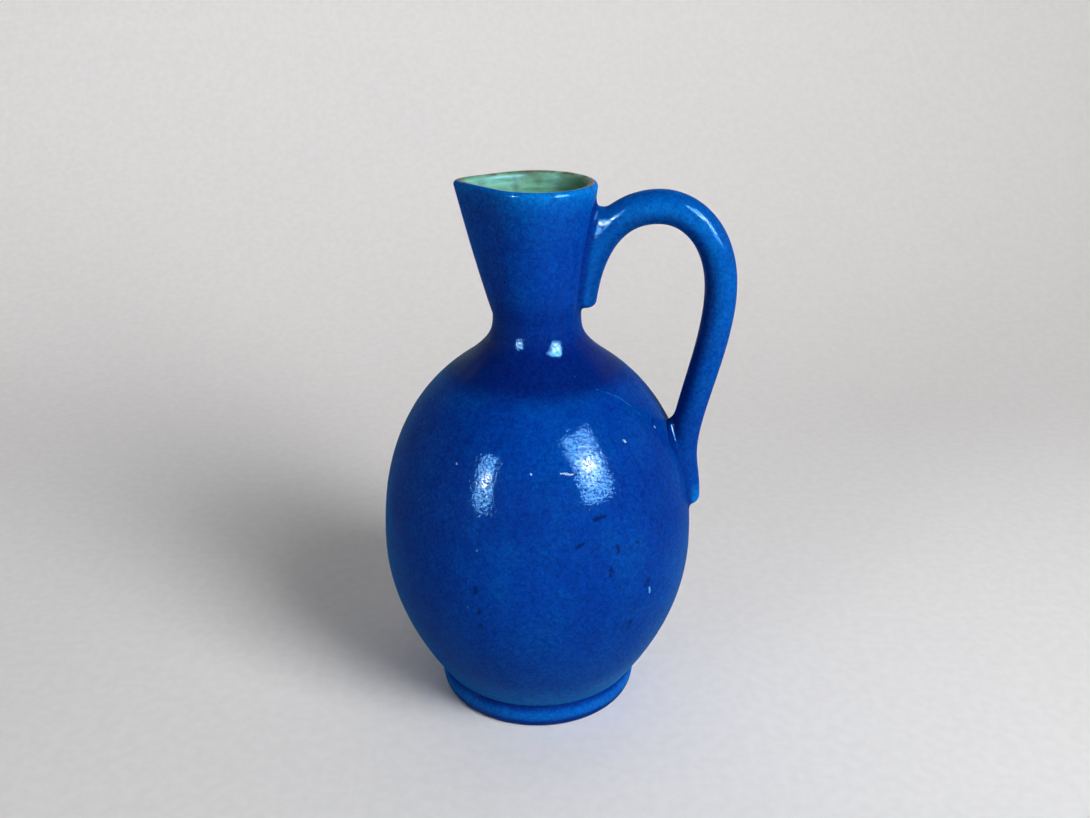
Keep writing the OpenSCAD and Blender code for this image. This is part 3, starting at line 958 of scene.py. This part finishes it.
# Pale green glaze, brushed in rings, with painted shade making it darker towards the handle side
greenGlaze = {
    "pale": (0.185, 0.45, 0.325),
    "deep": (0.09, 0.26, 0.175),
    "olive": (0.06, 0.10, 0.055),
    "worn": (0.10, 0.075, 0.05),
    "brushStretch": (0.25, 0.25, 1.6),
    "brushNoise": (260, 3, 0.6),
    "brushLimits": (0.3, 0.62),
    "blotNoise": (75, 3, 0.55),
    "blotLimits": (0.5, 0.72, 0, 0.7),
    "paintedHandleShade": (22, 0.55),  # painted shade: where along X it is full, and its share
    "wornNoise": (200, 3),
    "wornLimits": (0.35, 0.6),
    "shine": 0.04,
    "roughness": 0.3,
    "bump": (0.3, 0.6),
}


def makeGreenGlaze():
    material, tree, shader = newMaterial("green_inside_glaze")
    place = addNode(tree, "ShaderNodeTexCoord").outputs["Object"]
    flat = addNode(tree, "ShaderNodeMapping", {
        "Vector": place, "Scale": greenGlaze["brushStretch"]}).outputs[0]
    streak = noise(tree, flat, *greenGlaze["brushNoise"])["Fac"]
    blot = noise(tree, place, *greenGlaze["blotNoise"])["Fac"]
    brushed = ramp(tree, streak, *greenGlaze["brushLimits"])
    colour = mixColour(tree, brushed, greenGlaze["deep"], greenGlaze["pale"])
    blots = ramp(tree, blot, *greenGlaze["blotLimits"])
    colour = mixColour(tree, blots, colour, greenGlaze["olive"])
    x = addNode(tree, "ShaderNodeSeparateXYZ", {0: place}).outputs[0]
    reach, share = greenGlaze["paintedHandleShade"]
    # Painted shade: olive towards the handle side, away from the light
    colour = mixColour(tree, ramp(tree, x, 0, reach * mm, 0, share), colour, greenGlaze["olive"])
    broken = ramp(tree, noise(tree, place, *greenGlaze["wornNoise"])["Fac"], *greenGlaze["wornLimits"])
    edge = maths(tree, "MULTIPLY", mark(tree, "crest"), broken)
    colour = mixColour(tree, edge, colour, greenGlaze["worn"])
    tree.links.new(colour, shader.inputs["Base Color"])
    shader.inputs["Specular IOR Level"].default_value = greenGlaze["shine"]
    shader.inputs["Roughness"].default_value = greenGlaze["roughness"]
    strength, depth = greenGlaze["bump"]
    bump = addNode(tree, "ShaderNodeBump", {"Strength": strength, "Distance": depth * mm, "Height": streak})
    tree.links.new(bump.outputs[0], shader.inputs["Normal"])
    return material


blueFinish = makeBlueGlaze()
greenFinish = makeGreenGlaze()
print("glazes mixed")

for piece, node, finish, slot in (
        (makeFootRing(), "foot_ring", blueFinish, "blue_glaze"),
        (makeBelly(), "belly", blueFinish, "blue_glaze"),
        (makeNeck(), "neck", blueFinish, "blue_glaze"),
        (makeHandle(), "handle", blueFinish, "blue_glaze"),
        (makeLining(), "inside_glaze", greenFinish, "green_glaze")):
    piece.data.materials.append(finish)
    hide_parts(node)
    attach(piece, "root")
    print("made", piece.name, len(piece.data.vertices), "points")


# Stage, in metres: a pale board under and behind the pitcher, square to the view, fading into a grey room;
# painted light and shade make its colour lighter towards the back left and darker towards the back right
studio = {
    "frontLeft": (0.77, 0.767, 0.765),
    "frontRight": (0.81, 0.81, 0.815),
    "backLeft": (0.96, 0.94, 0.935),
    "backRight": (0.55, 0.54, 0.535),
    "frontBlend": (-0.25, 0.25),  # from left to right
    "backBlend": (-0.7, 0.7),
    "depthBlend": (-0.1, 0.5),  # from front to back
    "grainNoise": (180, 3),
    "grainLimits": (0.3, 0.7, 0.96, 1.0),
    "roughness": 0.8,
    "nearHalf": 0.46,
    "farHalf": 0.84,
    "widening": (0.0, 0.8),
    "softEdge": 0.24,
    "frontEdge": -0.62,
    "topEdge": 0.62,
    "front": 1.2,
    "halfWidth": 1.1,
    "curveStart": 0.32,
    "curveRadius": 0.5,
    "curveRows": 24,
    "top": 1.1,
    "room": (0.68, 0.68, 0.68),
    "roomGlow": 0.03,
    "roomTone": (0.62, 0.615, 0.61),
    "ceiling": (0.10, 0.10, 0.10),
    "ceilingFade": (0.25, 0.7),
}


# Rays that see the stage itself: straight from the view, mirrored or through glass
def seenRays(tree):
    path = addNode(tree, "ShaderNodeLightPath").outputs
    seen = maths(tree, "MAXIMUM", path["Is Camera Ray"], path["Is Glossy Ray"])
    return maths(tree, "MAXIMUM", seen, path["Is Transmission Ray"])


# 1 on the board, 0 beyond its soft edges
def boardShare(tree, x, y, z):
    soft = studio["softEdge"] / 2
    half = ramp(tree, y, *studio["widening"], studio["nearHalf"], studio["farHalf"])
    beyond = maths(tree, "SUBTRACT", maths(tree, "ABSOLUTE", x), half)
    sides = ramp(tree, beyond, -soft, soft, 1, 0)
    front = ramp(tree, y, studio["frontEdge"] - soft, studio["frontEdge"] + soft)
    top = ramp(tree, z, studio["topEdge"] - soft, studio["topEdge"] + soft, 1, 0)
    return maths(tree, "MULTIPLY", maths(tree, "MULTIPLY", sides, front), top)


def makeBoard():
    material, tree, shader = newMaterial("pale_board")
    place = addNode(tree, "ShaderNodeTexCoord").outputs["Object"]
    x, y, z = addNode(tree, "ShaderNodeSeparateXYZ", {0: place}).outputs
    # Painted light and shade: the board's colour blends from left to right and from front to back
    front = mixColour(tree, ramp(tree, x, *studio["frontBlend"]), studio["frontLeft"], studio["frontRight"])
    across = ramp(tree, x, *studio["backBlend"], kind="LINEAR")
    rear = mixColour(tree, across, studio["backLeft"], studio["backRight"])
    board = mixColour(tree, ramp(tree, y, *studio["depthBlend"]), front, rear)
    grain = ramp(tree, noise(tree, place, *studio["grainNoise"])["Fac"], *studio["grainLimits"])
    grey = addNode(tree, "ShaderNodeCombineColor", {0: grain, 1: grain, 2: grain}).outputs[0]
    board = mixColour(tree, 1.0, board, grey, "MULTIPLY")
    inside = boardShare(tree, x, y, z)
    board = mixColour(tree, inside, studio["room"], board)
    far = maths(tree, "MULTIPLY", maths(tree, "SUBTRACT", 1.0, inside), seenRays(tree))
    tree.links.new(mixColour(tree, far, board, (0, 0, 0)), shader.inputs["Base Color"])
    shader.inputs["Emission Color"].default_value = (*studio["roomTone"], 1)
    tree.links.new(far, shader.inputs["Emission Strength"])
    material.cycles.emission_sampling = "NONE"
    shader.inputs["Roughness"].default_value = studio["roughness"]
    shader.inputs["Specular IOR Level"].default_value = 0.0
    return material


def makeSweep():
    start, radius, half = studio["curveStart"], studio["curveRadius"], studio["halfWidth"]
    line = [(-studio["front"], 0.0)]
    for turn in np.linspace(0, math.pi / 2, studio["curveRows"]):
        line.append((start + radius * math.sin(turn), radius * (1 - math.cos(turn))))
    line.append((start + radius, studio["top"]))
    points = [(x, y, z) for y, z in line for x in (-half, half)]
    faces = [(2 * i, 2 * i + 1, 2 * i + 3, 2 * i + 2) for i in range(len(line) - 1)]
    mesh = bpy.data.meshes.new("pale_sweep")
    mesh.from_pydata(points, [], faces)
    mesh.polygons.foreach_set("use_smooth", [True] * len(mesh.polygons))
    mesh.materials.append(makeBoard())
    sweep = linkPiece("pale_sweep", mesh)
    sweep.rotation_euler = (0, 0, viewTurn)


# Lamps stand off the pitcher along an angle and a height; panels that only show as gleam stand before them
lamps = {
    "right_softbox": {"angle": -34.4, "height": 30.1, "roll": 0.0, "size": (0.90, 1.50), "glow": 12.2,
                      "gleam": 161.0, "halo": 66.0, "core": 170.0},
    "left_strip": {"angle": -125.9, "height": 20.6, "roll": 7.0, "size": (0.47, 1.10), "glow": 4.5,
                   "gleam": 145.0, "halo": 42.0, "core": 220.0},
}
gleams = {
    "gleam": {"size": (1.0, 1.0), "colour": (0.16, 0.53, 1.0), "shape": "RECTANGLE"},
    "halo": {"size": (0.75, 0.55), "colour": (0.6, 0.9, 1.0), "shape": "ELLIPSE"},
    "core": {"size": (0.28, 0.2), "colour": (1.0, 0.9, 0.7), "shape": "ELLIPSE"},
}
wallWash = {
    "spot": Vector((0.05, 0.1, 1.25)),
    "target": Vector((-0.25, 0.8, 0.4)),
    "size": (1.4, 0.3),
    "glow": 1.3,
}
lampDistance = 2.0
lampTarget = Vector((0, -0.05, 0.135))
gleamStep = 0.01  # each panel stands this far before the last


def makeLamp(name, spot, roll, size, glow, gleam=None, target=lampTarget):
    data = bpy.data.lights.new(name, "AREA")
    data.shape = gleam["shape"] if gleam else "RECTANGLE"
    data.size, data.size_y = size
    data.energy = glow * math.pi * size[0] * size[1]
    lamp = bpy.data.objects.new(name, data)
    lamp.location = spot
    facing = (target - spot).to_track_quat("-Z", "Y")
    lamp.rotation_euler = (facing @ Quaternion((0, 0, 1), math.radians(roll))).to_euler()
    lamp.visible_camera = False
    if gleam:
        data.color = gleam["colour"]
        lamp.visible_diffuse = False
    else:
        lamp.visible_glossy = False
    bpy.context.scene.collection.objects.link(lamp)


def makeLamps():
    for name, lamp in lamps.items():
        turn, rise = math.radians(lamp["angle"]), math.radians(lamp["height"])
        way = Vector((math.cos(rise) * math.cos(turn), math.cos(rise) * math.sin(turn), math.sin(rise)))
        spot = lampTarget + lampDistance * way
        makeLamp(name, spot, lamp["roll"], lamp["size"], lamp["glow"])
        for step, (kind, gleam) in enumerate(gleams.items(), 1):
            size = [a * b for a, b in zip(lamp["size"], gleam["size"])]
            before = spot - gleamStep * step * way
            makeLamp(name + "_" + kind, before, lamp["roll"], size, lamp[kind], gleam)
    makeLamp("wall_wash", wallWash["spot"], 0, wallWash["size"], wallWash["glow"],
             target=wallWash["target"])


def makeWorld():
    world = bpy.data.worlds.new("grey_room")
    bpy.context.scene.world = world
    world.use_nodes = True
    tree = world.node_tree
    tree.nodes.clear()
    glow = studio["roomGlow"]
    seen = seenRays(tree)
    way = addNode(tree, "ShaderNodeTexCoord").outputs["Generated"]
    rise = addNode(tree, "ShaderNodeSeparateXYZ", {0: way}).outputs[2]
    shade = mixColour(tree, ramp(tree, rise, *studio["ceilingFade"]), studio["roomTone"], studio["ceiling"])
    tone = mixColour(tree, seen, (glow, glow, glow), shade)
    back = addNode(tree, "ShaderNodeBackground", {"Color": tone, "Strength": 1.0})
    output = addNode(tree, "ShaderNodeOutputWorld")
    tree.links.new(back.outputs[0], output.inputs[0])


makeSweep()
makeWorld()
makeLamps()
print("stage lit")

# Camera: millimetres aside from the axis, back from it and up from the foot, then degrees, lens and sensor
photoView = {"aside": 3.48, "back": 464.3, "height": 339.3, "lookDown": 23.14, "lens": 36.87, "sensor": 36}
cameraData = bpy.data.cameras.new("photo_view")
cameraData.sensor_width = photoView["sensor"]
cameraData.sensor_fit = "HORIZONTAL"
cameraData.lens = photoView["lens"]
camera = bpy.data.objects.new("photo_view", cameraData)
aside, back = photoView["aside"] * mm, photoView["back"] * mm
camera.location = (
    aside * math.cos(viewTurn) + back * math.sin(viewTurn),
    aside * math.sin(viewTurn) - back * math.cos(viewTurn),
    photoView["height"] * mm,
)
camera.rotation_euler = (math.radians(90 - photoView["lookDown"]), 0, viewTurn)
bpy.context.scene.collection.objects.link(camera)
bpy.context.scene.camera = camera
bpy.context.scene.view_settings.view_transform = "Standard"
